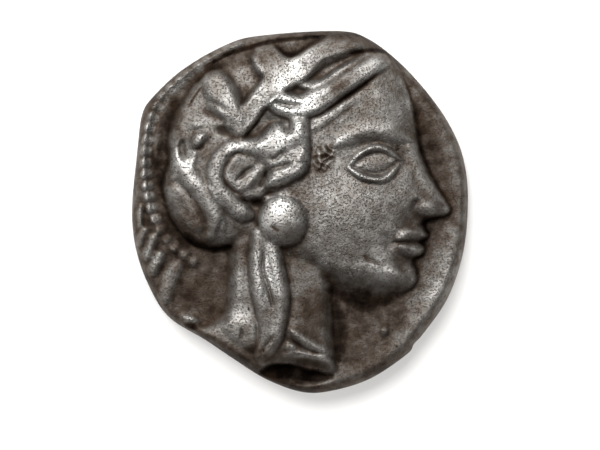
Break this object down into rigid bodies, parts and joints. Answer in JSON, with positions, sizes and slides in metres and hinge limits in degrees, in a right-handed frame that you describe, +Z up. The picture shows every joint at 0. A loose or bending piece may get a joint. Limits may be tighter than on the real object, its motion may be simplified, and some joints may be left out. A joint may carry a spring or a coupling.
{
  "type": "ancient silver coin",
  "caption": "Thick hand-struck silver coin with a helmeted head in high relief on one face and an owl in a sunk square on the other",
  "frame": {"origin": "the middle of the coin, on the surface that it lies on", "axes": "+Z is up out of the head side, through the coin's thickness; +Y runs from the neck to the top of the helmet; +X is the way the head faces"},
  "size_m": [0.0232, 0.025, 0.0056],
  "materials": {
    "silver": "satin"
  },
  "bodies": {
    "root": {"coin": "silver"}
  },
  "joints": []
}
